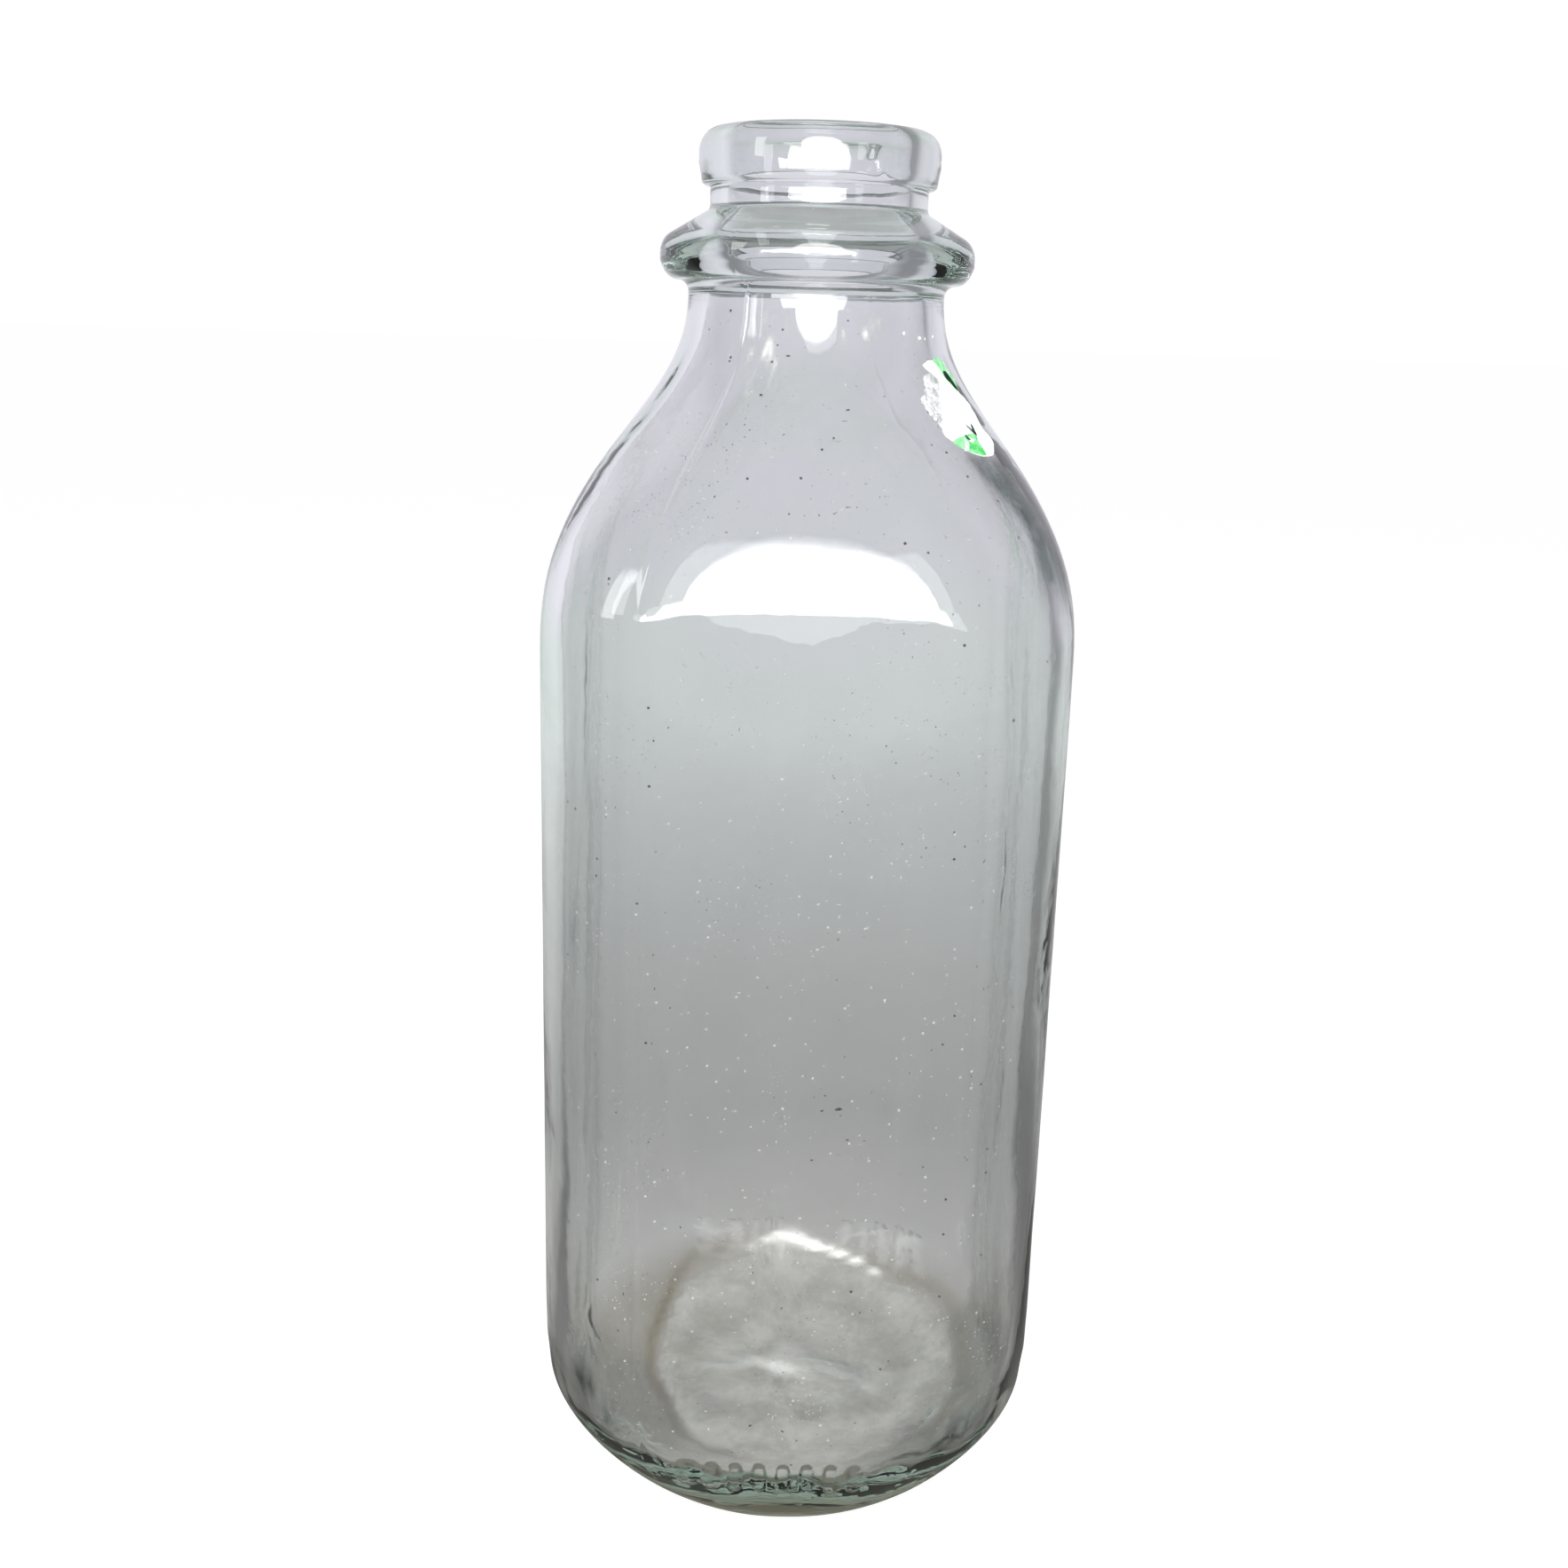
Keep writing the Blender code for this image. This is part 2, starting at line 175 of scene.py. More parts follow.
def inside_section():
    """The inside, from the sealing face down to the middle of the floor."""
    edge = SEAL_INNER - BORE_HALF
    outer = shoulder(32)
    along = np.gradient(outer, axis=0)
    along /= np.linalg.norm(along, axis=1, keepdims=True)
    inner = outer + SIDE_WALL * np.stack([-along[:, 1], along[:, 0]], axis=1)
    inner_half = BODY_HALF - SIDE_WALL
    centre = (inner_half - INNER_HEEL_REACH, INNER_HEEL_TOP)
    floor_edge = INNER_HEEL_TOP - INNER_HEEL_DROP
    share = np.linspace(1.0, 0.0, 15)[1:]
    floor_height = FLOOR_CENTRE - (FLOOR_CENTRE - floor_edge) * share ** 2
    floor = np.stack([centre[0] * share, floor_height], axis=1)
    return np.concatenate([
        arc((SEAL_INNER, LIP_TOP - edge), edge, edge, 90.0, 180.0, 5),
        line((BORE_HALF, LIP_TOP - 2.4), (BORE_HALF, BORE_BOTTOM + 1.5), 6),
        bezier((BORE_HALF, BORE_BOTTOM), (BORE_HALF, BORE_BOTTOM - BORE_PULL),
               (INNER_NECK_HALF, INNER_NECK_TOP + BORE_PULL), (INNER_NECK_HALF, INNER_NECK_TOP), 12),
        inner[::-1][1:],
        line((inner_half, SHOULDER_START), (inner_half, INNER_HEEL_TOP), 22)[1:-1],
        arc(centre, INNER_HEEL_REACH, INNER_HEEL_DROP, 0.0, -90.0, 24),
        floor,
    ])


outside, inside = outside_section(), inside_section()
section = np.concatenate([outside, inside])
print("rings outside and inside:", len(outside), len(inside))

# %% [markdown]
# ## From section to solid
# In plan the bottle is a square with rounded corners. Towards the neck and towards the base the
# corners grow until the plan is a circle. Every ring of the section is carried round that plan, at
# one list of turns that lies closer together where the heel has its raised beading.

# %% Plan and grid
COLUMNS = 330
FRONT_CROWD, FRONT_SPAN = 3.6, 0.40         # how much denser, and over how many radians
BACK_CROWD, BACK_SPAN, BACK_TURN = 0.9, 0.55, np.pi + 0.12
SEAM_CROWD, SEAM_SPAN = 2.5, 0.03
OUTER_RATIO = CORNER_RADIUS / BODY_HALF
INNER_RATIO = (CORNER_RADIUS - SIDE_WALL) / (BODY_HALF - SIDE_WALL)
SEAM_TURNS = np.radians([-31.0, 149.0])


def roundness(height):
    """0 where the plan is squarest, 1 where it is a circle."""
    up = smooth((height - SQUARE_BELOW) / (ROUND_ABOVE - SQUARE_BELOW))
    return np.maximum(up, smooth((BASE_BLEND_TOP - height) / BASE_BLEND_TOP))


def plan_reach(half, corner, turn):
    """How far a square with rounded corners reaches at a turn from its centre."""
    a = np.mod(turn, np.pi / 2)
    a = np.minimum(a, np.pi / 2 - a)
    flat = half - corner
    towards = flat * (np.cos(a) + np.sin(a))
    on_corner = towards + np.sqrt(np.maximum(towards ** 2 - 2 * flat ** 2 + corner ** 2, 0.0))
    return np.where(half * np.tan(a) <= flat, half / np.cos(a), on_corner)


def near(turn, centre, width):
    """1 at a turn, falling to 0 over a width, all in radians."""
    away = np.abs(np.mod(turn - centre + np.pi, 2 * np.pi) - np.pi)
    return np.exp(-(away / width) ** 2)


def crowded_turns(count):
    """Turns round the bottle, 0 at the front, closer together over the beading and the seams."""
    fine = np.linspace(0.0, 2 * np.pi, 7201)
    density = 1.0 + FRONT_CROWD * near(fine, 0.0, FRONT_SPAN) ** 2
    density += BACK_CROWD * near(fine, BACK_TURN, BACK_SPAN)
    for seam in SEAM_TURNS:
        density += SEAM_CROWD * near(fine, seam, SEAM_SPAN)
    total = np.concatenate([[0.0], np.cumsum((density[1:] + density[:-1]) / 2)])
    return np.interp(np.arange(count) / count * total[-1], total, fine)


def carry_round(section, ratio, turns):
    """Points on each ring: reach(turn) outwards from the axis, 0 facing -Y, at the ring's height."""
    half, height = section[:, :1], section[:, 1:]
    corner = half * (ratio[:, None] + (1 - ratio[:, None]) * roundness(height))
    reach = plan_reach(half, corner, turns[None, :])
    return np.stack([reach * np.sin(turns), -reach * np.cos(turns), height + 0 * reach], axis=2)


def grid_normals(points):
    """Unit normals of a grid that closes round its second axis: around x along."""
    around = np.roll(points, -1, axis=1) - np.roll(points, 1, axis=1)
    along = np.gradient(points, axis=0)
    normal = np.cross(around, along)
    return normal / np.maximum(np.linalg.norm(normal, axis=2, keepdims=True), 1e-9)


turns = crowded_turns(COLUMNS)
ratio = np.concatenate([np.full(len(outside), OUTER_RATIO), np.full(len(inside), INNER_RATIO)])
glass_points = carry_round(section, ratio, turns)
is_outside = np.arange(len(section)) < len(outside)
print("grid:", glass_points.shape)

# %% [markdown]
# ## What the moulds leave in the glass
# Two half moulds leave a fine ridge up the bottle, and the ring mould leaves a line round the
# collar. The inside never touches a mould: the glass is blown, so it lies in soft waves, thicker
# here and thinner there, and its floor has rings like those in a pond. These are worked out as a
# height over the grid, in millimetres along the normal.

# %% Waves
def waves(across, upwards, seed, lengths, count=14):
    """A sum of sine waves with random directions and phases, about 1 high."""
    random = np.random.default_rng(seed)
    total = np.zeros(np.broadcast(across, upwards).shape)
    for _ in range(count):
        length = random.uniform(*lengths)
        lean = random.uniform(0, 2 * np.pi)
        phase = random.uniform(0, 2 * np.pi)
        total += np.sin(2 * np.pi * (across * np.cos(lean) + upwards * np.sin(lean)) / length + phase)
    return total / math.sqrt(count)


def round_waves(turns, height, seed, orders, strength=1.0):
    """Waves that close round the bottle: sin(order x turn + drift with height)."""
    random = np.random.default_rng(seed)
    total = np.zeros(np.broadcast(turns, height).shape)
    for order in orders:
        drift = random.uniform(-1, 1) * 0.02
        bend = random.uniform(0.2, 0.6)
        length = random.uniform(60, 150)
        phase = random.uniform(0, 2 * np.pi, 2)
        total += np.sin(order * turns + drift * height + phase[0]
                        + bend * np.sin(2 * np.pi * height / length + phase[1]))
    return strength * total / math.sqrt(len(orders))


height, half = section[:, 1:], section[:, :1]
round_turns = turns[None, :]
diagonal = glass_points[..., 0] + glass_points[..., 1]
print("turns round each ring:", round_turns.size)

# %% Mould lines, swelling shoulder and blown inside
WAVES_OUT, RIPPLE_OUT, WAVES_IN, RIPPLE_IN = 0.035, 0.02, 0.15, 0.10     # how high, in millimetres
SEAM_PROUD, SEAM_WIDE = 0.10, 0.012         # millimetres, radians
SHOULDER_PROUD = (0.28, 0.0)                # what each seam gains on the shoulder
RING_SEAM_PROUD, RING_SEAM_HEIGHT, RING_SEAM_WIDE = 0.14, 269.6, 0.45
PILLOW_PROUD, PILLOW_SHARE, PILLOW_LEAST = 1.8, 0.66, 20    # height, share of the half width, least half

outer_relief = WAVES_OUT * round_waves(round_turns, height, 3, (2, 3, 5, 7, 11))
outer_relief = outer_relief + RIPPLE_OUT * waves(diagonal, height, 5, (9, 26))
for seam, shoulder_proud in zip(SEAM_TURNS, SHOULDER_PROUD):
    seam_height = SEAM_PROUD + shoulder_proud * between(height, 205, 20, 264, 4)
    seam_height = seam_height * (1 - 0.8 * smooth((height - 264) / 6)) * between(height, 12, 10, 293, 4)
    outer_relief = outer_relief + seam_height * near(round_turns, seam, SEAM_WIDE)
ring_seam = hump(height, RING_SEAM_HEIGHT, RING_SEAM_WIDE) * (half > 30)
across_face = np.abs(glass_points[..., 0]) / (PILLOW_SHARE * np.maximum(half, PILLOW_LEAST))
pillow = np.maximum(1 - across_face ** 3, 0.0) ** 2 * between(height, 180, 30, 256, 34)
outer_relief = outer_relief + RING_SEAM_PROUD * ring_seam + PILLOW_PROUD * pillow
inner_relief = between(height, 20, 25, 262, 20) * (
    WAVES_IN * round_waves(round_turns, height, 11, (2, 3, 4, 6, 9, 13, 17))
    + RIPPLE_IN * waves(diagonal, height, 12, (14, 60))
)
print("outer relief up to", round(float(outer_relief.max()), 3), "mm")

# %% [markdown]
# ## The floor
# The floor carries a thick disc of glass, off centre and with a wandering edge. Faint rings spread
# over it from a place near its middle.

# %% The floor's thick disc and its rings
DISC_CENTRE, DISC_REACH, DISC_THICK, DISC_EDGE = (5.0, 9.0), 39.0, 1.15, 4.5
RING_CENTRE, RING_HIGH, RING_APART = (2.5, 13.0), (0.12, 0.05), (2.6, 1.3)
FLOOR_RIPPLE = 0.12


def spread_from(centre, points):
    """How far each point is from a place on the floor."""
    return np.hypot(points[..., 0] - centre[0], points[..., 1] - centre[1])


def disc_edge(points):
    """How far inside the disc's edge each point is, its turn round the disc, and the edge's wander."""
    turn = np.arctan2(points[..., 0] - DISC_CENTRE[0], DISC_CENTRE[1] - points[..., 1])
    wander = 1.6 * np.sin(2 * turn + 0.7) + 1.5 * np.sin(3 * turn + 2.4) + 0.7 * np.sin(7 * turn)
    return DISC_REACH + wander - spread_from(DISC_CENTRE, points), turn, wander


def ring_distance(points, wander):
    """How far each point is from the middle of the rings, which wander as the disc's edge does."""
    return spread_from(RING_CENTRE, points) + 0.8 * wander


edge, _, wander = disc_edge(glass_points)
disc = smooth(edge / DISC_EDGE)
ring_spread = ring_distance(glass_points, wander)
rings = (RING_HIGH[0] * np.sin(ring_spread / RING_APART[0])
         + RING_HIGH[1] * np.sin(ring_spread / RING_APART[1] + 1.0)) * smooth(ring_spread / 7)
ripples = FLOOR_RIPPLE * waves(glass_points[..., 0], glass_points[..., 1], 31, (6, 16))
near_floor = smooth((36 - height) / 8) * (~is_outside)[:, None]
floor_relief = near_floor * (DISC_THICK * disc + rings * disc + ripples)
print("floor relief up to", round(float(floor_relief.max()), 3), "mm")

# %% [markdown]
# ## Beading, skirt and nick
# A band of upright beads stands proud on the heel, at the front and at the back. Below the lip a
# short skirt fills the front of the undercut, and the lip has one small nick with a chip beside it.

# %% Raised beading on the heel
BEAD_HEIGHT, BEAD_PITCH, BEAD_HALF_WIDE, BEAD_HALF_HIGH, BEAD_PROUD = 23.8, 5.0, 1.5, 4.2, 0.34
BEAD_FACE = -15                             # beads are only on points this far forwards
NICK_TURN, NICK_HEIGHT, NICK_DEEP = 0.42, 287.6, 0.55
CHIP_TURN, CHIP_HEIGHT, CHIP_PROUD = 0.50, 286.6, 0.5
FRONT_BEADS = tuple(range(-4, 4))
BACK_BEADS = (-7, -6, -5, -4, -3, 0, 1, 2, 3, 4)


def bead_relief(points, columns, facing):
    """Flat-topped upright beads: proud x smooth(1.5 (1 - (across/half wide)^4 - (up/half high)^4))."""
    across_here = points[..., 0] * facing
    in_front = points[..., 1] * facing < BEAD_FACE
    total = np.zeros(points.shape[:2])
    for column in columns:
        across = (across_here - column * BEAD_PITCH) / BEAD_HALF_WIDE
        upwards = (points[..., 2] - BEAD_HEIGHT) / BEAD_HALF_HIGH
        inside_it = np.maximum(1 - across ** 4 - upwards ** 4, 0.0)
        total = np.maximum(total, BEAD_PROUD * smooth(1.5 * inside_it))
    return total * in_front


skirt = between(height, 284.6, 0.5, 288.4, 0.4) * near(round_turns, 0.0, 0.8)
nick = hump(height, NICK_HEIGHT, 1.1) * near(round_turns, NICK_TURN, 0.055)
chip = hump(height, CHIP_HEIGHT, 0.9) * near(round_turns, CHIP_TURN, 0.035)
on_lip = half > 22
outer_relief = outer_relief + (LIP_HALF - half) * skirt
outer_relief = outer_relief + (CHIP_PROUD * chip - NICK_DEEP * nick) * on_lip
beads = bead_relief(glass_points, FRONT_BEADS, 1) + bead_relief(glass_points, BACK_BEADS, -1)
relief = np.where(is_outside[:, None], outer_relief + beads, inner_relief + floor_relief)
bearing = (height < 0.5) | ((height > 290) & (half < 21))
relief = np.where(bearing, 0.0, relief)
glass_points = glass_points + relief[..., None] * grid_normals(glass_points)
print("beads:", len(FRONT_BEADS) + len(BACK_BEADS), "nick:", NICK_DEEP, "mm deep")

# %% [markdown]
# ## Putting a grid into a mesh
# Neighbouring rings are joined by four-sided faces. The first and the last ring shrink to a single
# point, the poles under the base and on the floor, and are closed with triangles.

# %% Mesh from a closed grid
def closed_round(name, points, material):
    """A closed skin from rings of points, whose first and last rings are poles."""
    rings, columns = points.shape[:2]
    body = points[1:-1].reshape(-1, 3)
    poles = np.array([points[0].mean(axis=0), points[-1].mean(axis=0)])
    index = np.arange((rings - 2) * columns).reshape(rings - 2, columns)
    right = np.roll(index, -1, axis=1)
    quads = np.stack([index[:-1], right[:-1], right[1:], index[1:]], axis=2).reshape(-1, 4)
    low, high = len(body), len(body) + 1
    first = np.stack([np.full(columns, low), right[0], index[0]], axis=1)
    last = np.stack([index[-1], right[-1], np.full(columns, high)], axis=1)
    data = bpy.data.meshes.new(name)
    vertices = np.concatenate([body, poles]) * MM
    data.from_pydata(vertices.tolist(), [], quads.tolist() + first.tolist() + last.tolist())
    data.shade_smooth()
    data.materials.append(material)
    thing = bpy.data.objects.new(name, data)
    bpy.context.scene.collection.objects.link(thing)
    return thing


def lay_values(thing, name, values):
    """One number a point, as an attribute a material can read."""
    at_points = np.concatenate([values[1:-1].ravel(), [values[0].mean(), values[-1].mean()]])
    layer = thing.data.attributes.new(name, "FLOAT", "POINT")
    layer.data.foreach_set("value", at_points.astype(np.float32))


print("rings to join:", len(glass_points), "of", COLUMNS, "points")

# %% [markdown]
# ## Building materials from nodes
# Each helper places one node and gives back the socket that comes out of it, so a material reads like
# a sum. Patterns are worked out in Object coordinates, so they stay on the bottle.

# %% Node helpers
def feed(tree, socket, value):
    """Link a socket to another one, or set it to a number, a vector or a colour."""
    if isinstance(value, bpy.types.NodeSocket):
        tree.links.new(value, socket)
    else:
        socket.default_value = (*value, 1.0) if socket.type == "RGBA" else value


def placed(tree, kind, values):
    """A node of a kind, with its named inputs fed."""
    node = tree.nodes.new(kind)
    for name, value in values.items():
        feed(tree, node.inputs[name], value)
    return node


def noise(tree, place, scale, detail=3.0, roughness=0.5):
    """Noise, with scale in lumps per metre."""
    values = {"Vector": place, "Scale": scale, "Detail": detail, "Roughness": roughness}
    return placed(tree, "ShaderNodeTexNoise", values).outputs["Fac"]


def ranged(tree, value, low, high, to_low=0.0, to_high=1.0):
    """A smooth step from one range to another."""
    values = {"Value": value, "From Min": low, "From Max": high, "To Min": to_low, "To Max": to_high}
    node = placed(tree, "ShaderNodeMapRange", values)
    node.interpolation_type = "SMOOTHSTEP"
    return node.outputs["Result"]


def maths(tree, operation, *values):
    """A Math node over two or three values."""
    node = tree.nodes.new("ShaderNodeMath")
    node.operation = operation
    for socket, value in zip(node.inputs, values):
        feed(tree, socket, value)
    return node.outputs[0]


def mixed(tree, share, first, second, blend="MIX"):
    """Two colours, mixed by a share."""
    node = tree.nodes.new("ShaderNodeMix")
    node.data_type, node.blend_type = "RGBA", blend
    for place, value in ((0, share), (6, first), (7, second)):
        feed(tree, node.inputs[place], value)
    return node.outputs[2]


def laid(tree, name):
    """The share that a piece's own attribute gives."""
    node = tree.nodes.new("ShaderNodeAttribute")
    node.attribute_name = name
    return node.outputs["Fac"]


def object_place(tree):
    """Where a point is on its object, in metres."""
    return tree.nodes.new("ShaderNodeTexCoord").outputs["Object"]


def set_ramp(ramp, stops):
    """Stops of (place, grey or colour) on a colour ramp."""
    elements = ramp.color_ramp.elements
    while len(elements) > 1:
        elements.remove(elements[-1])
    for i, (place, tone) in enumerate(stops):
        stop = elements[0] if i == 0 else elements.new(place)
        stop.position = place
        colour = (tone,) * 3 if isinstance(tone, float) else tone
        stop.color = (*colour, 1.0)


def new_material(name):
    """An empty material, and its tree with an output."""
    material = bpy.data.materials.new(name)
    material.use_nodes = True
    tree = material.node_tree
    tree.nodes.clear()
    return material, tree, tree.nodes.new("ShaderNodeOutputMaterial")


print("smooth steps, sums, mixes and attributes are ready")

# %% [markdown]
# ## Clear glass
# Bottle glass lets nearly all light through its walls. Iron in the sand makes it faintly green, which
# shows only along the edges and in the heel, where light goes a long way through it. So the green is
# a volume that absorbs. The surface has the faint grey of years of washing, it is browner where the
# heel is worn. Dark streaks are painted into its colour as painted dark reflections: a strip under the
# sticker and two patches low on the heel stand in for dark things seen in the glass; along the beads the
# darkening is dirt.

# %% Glass material
GREY_GLASS, PALE_GLASS = (0.885, 0.885, 0.90), (0.925, 0.925, 0.935)
# The second colour here is a painted dark reflection under the sticker and low on the heel, and dirt along
# the beads.
WORN_HEEL, DIRT_AND_PAINTED_DARK = (0.56, 0.50, 0.42), (0.06, 0.085, 0.075)
GREEN_DEPTH, GREEN_DENSITY = (0.24, 0.50, 0.36), 11.0


def clear_glass():
    """Principled glass: tint, dirt and painted dark reflections in its colour, smears in its gloss, ripples
    in its relief.
    """
    material, tree, out = new_material("clear_glass_finish")
    place = object_place(tree)
    tint = mixed(tree, noise(tree, place, 35.0), GREY_GLASS, PALE_GLASS)
    worn = mixed(tree, laid(tree, "heel_wear"), tint, WORN_HEEL)
    streaks = ranged(tree, noise(tree, place, 160.0, 5.0, 0.6), 0.30, 0.62, 0.75, 1.0)
    dirt_and_dark = maths(tree, "MULTIPLY", laid(tree, "dirt_and_painted_dark"), streaks)
    smears = ranged(tree, noise(tree, place, 90.0, 5.0, 0.65), 0.45, 0.75, 0.002, 0.014)
    ripple = placed(tree, "ShaderNodeBump", {
        "Strength": 0.25, "Distance": 0.0002, "Height": noise(tree, place, 130.0, 2.0),
    })
    glass = placed(tree, "ShaderNodeBsdfPrincipled", {
        "IOR": 1.5, "Transmission Weight": 1.0, "Base Color": mixed(tree, dirt_and_dark, worn, DIRT_AND_PAINTED_DARK),
        "Roughness": smears, "Normal": ripple.outputs["Normal"],
    })
    depth = placed(tree, "ShaderNodeVolumeAbsorption", {"Color": GREEN_DEPTH, "Density": GREEN_DENSITY})
    feed(tree, out.inputs["Surface"], glass.outputs["BSDF"])
    feed(tree, out.inputs["Volume"], depth.outputs["Volume"])
    return material


glass_material = clear_glass()
print("glass nodes:", len(glass_material.node_tree.nodes))

# %% The bottle
bottle = closed_round("bottle_body", glass_points, glass_material)
# A painted dark reflection: a strip below the sticker is darkened in the glass's colour, standing in for a
# dark thing seen through the shoulder.
past_dark_strip_edge = np.degrees(round_turns) - (60 - 0.5 * (height - 205))     # degrees
painted_dark_strip = between(past_dark_strip_edge, -5, 5, 26, 10) * between(height, 200, 12, 236, 3)
turn_degrees = np.degrees(np.mod(round_turns + np.pi, 2 * np.pi) - np.pi)
# Painted dark reflections: two mottled patches low on the heel, left and right, stand in for dark things seen
# in the glass.
left_painted_dark = hump(turn_degrees, -42, 6) * hump(height + 1.5 * (turn_degrees + 41), 37, 4.5)
right_painted_dark = hump(turn_degrees, 36, 9) * hump(height - 0.19 * (turn_degrees - 34), 32, 3.0)
dark_mottle = 0.75 + 0.35 * waves(turn_degrees * 0.8, height, 83, (1.5, 6.0))
bead_share = beads / BEAD_PROUD
settled = 2.6 * bead_share * (1 - bead_share)       # dirt settles along the flanks of the beads
dirt_and_dark_reflections = painted_dark_strip + 1.3 * (left_painted_dark + right_painted_dark) * dark_mottle + settled
worn_low = smooth((25 - height) / 10) * is_outside[:, None]
lay_values(bottle, "dirt_and_painted_dark", np.clip(dirt_and_dark_reflections, 0.0, 1.0) * is_outside[:, None])
lay_values(bottle, "heel_wear", worn_low + 0 * round_turns)
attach(bottle, "root")
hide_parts("bottle_glass")
print("bottle faces:", len(bottle.data.polygons))

# %% [markdown]
# ## Haze from years of milk and washing
# The inside is no longer clean. A thin whitish film lies on the floor and low on the walls, with
# specks of dried milk and grit in it. It is a skin of its own, a tenth of a millimetre inside the
# glass, so that it can be seen through in most places: its alpha is a pattern of clouds and specks.

# %% Film material
MILK_WHITE, MILK_BROWN = (0.92, 0.92, 0.88), (0.34, 0.27, 0.15)
# The first colour here is the dark of grit specks and of the painted dark reflections low on the walls; the
# second is the colour of a painted glint.
GRIT_AND_PAINTED_DARK, GLINT = (0.05, 0.05, 0.04), (1.1, 1.1, 1.1)
PAINTED_GLOW = (0.20, 0.20, 0.195)           # a painted glow: the share of its colour it gives off as emission, in place of light from behind
SPECK_ALPHA, DARK_SPECKS = 0.7, 0.70


def speck_mask(tree, place, scale, size, keep):
    """Round specks: the middles of Voronoi cells whose random number is high, and a second number."""
    cells = placed(tree, "ShaderNodeTexVoronoi", {"Vector": place, "Scale": scale})
    split = placed(tree, "ShaderNodeSeparateXYZ", {"Vector": cells.outputs["Color"]})
    dot = ranged(tree, cells.outputs["Distance"], size, size * 0.5)
    kept = maths(tree, "GREATER_THAN", split.outputs["X"], keep)
    return maths(tree, "MULTIPLY", dot, kept), split.outputs["Y"]


def dried_milk():
    """Haze in clouds, with pale and dark specks; brown, painted dark and painted glints where attributes say
    so, and a faint painted glow of its own colour.
    """
    material, tree, out = new_material("dried_milk_haze")
    here = object_place(tree)
    clouds = ranged(tree, noise(tree, here, 75.0, 8.0, 0.7), 0.34, 0.66, 0.55, 1.0)
    haze = maths(tree, "MULTIPLY", clouds, laid(tree, "haze"))
    large_specks, odd = speck_mask(tree, here, 520.0, 0.20, 0.80)
    fine_specks = speck_mask(tree, here, 1300.0, 0.26, 0.55)[0]
    patches = ranged(tree, noise(tree, here, 40.0, 3.0), 0.52, 0.66)
    specks = maths(tree, "MAXIMUM", large_specks, maths(tree, "MULTIPLY", fine_specks, patches))
    alpha = maths(tree, "MAXIMUM", haze, maths(tree, "MULTIPLY", specks, SPECK_ALPHA))
    dark_specks = maths(tree, "MULTIPLY", maths(tree, "GREATER_THAN", odd, DARK_SPECKS), specks)
    dark = maths(tree, "MAXIMUM", dark_specks, laid(tree, "painted_dark"))
    milk = mixed(tree, laid(tree, "stain"), MILK_WHITE, MILK_BROWN)
    colour = mixed(tree, dark, milk, GRIT_AND_PAINTED_DARK)
    glow = mixed(tree, laid(tree, "glint"), mixed(tree, 1.0, colour, PAINTED_GLOW, "MULTIPLY"), GLINT)
    look = placed(tree, "ShaderNodeBsdfPrincipled", {
        "Roughness": 0.8, "Specular IOR Level": 0.2, "Base Color": colour, "Alpha": alpha,
        "Emission Color": glow, "Emission Strength": 1.0,
    })
    feed(tree, out.inputs["Surface"], look.outputs["BSDF"])
    return material


film_material = dried_milk()
print("film nodes:", len(film_material.node_tree.nodes))

# %% [markdown]
# ## How thick the film lies
# Milk dries where it drains to: over the floor, in its rings, and brown along the edge of the disc.
# Two patches low on the walls are painted dark, as painted reflections of dark things; two more high on the
# neck are hazed and given a painted highlight in streaks, and the far edge of the disc and the beads behind
# carry painted glints.

# %% How thick the film lies
def painted_dark_share(turn, across, up):
    """Two painted dark reflections low on the walls, each one climbing as it goes round."""
    left = near(turn, math.radians(-53), 0.17) * hump(up - 20 * (turn + 0.94), 35, 7)
    right = near(turn, math.radians(37), 0.23) * hump(up - 8 * (turn - 0.66), 20, 4)
    mottle = 0.7 + 0.45 * waves(across, up, 71, (1.5, 6.0))
    return np.clip(2.4 * (left + right) * mottle, 0.0, 1.0)


def painted_neck_streaks(turn, up):
    """Two patches on the neck, hazed and given a painted highlight in upright streaks."""
    patches = near(turn, -0.40, 0.15) * hump(up, 252, 8) + near(turn, 0.38, 0.22) * hump(up, 257, 3)
    return patches * np.clip(waves(24 * turn, up / 3, 73, (1.2, 4.0)), 0.0, 1.0)


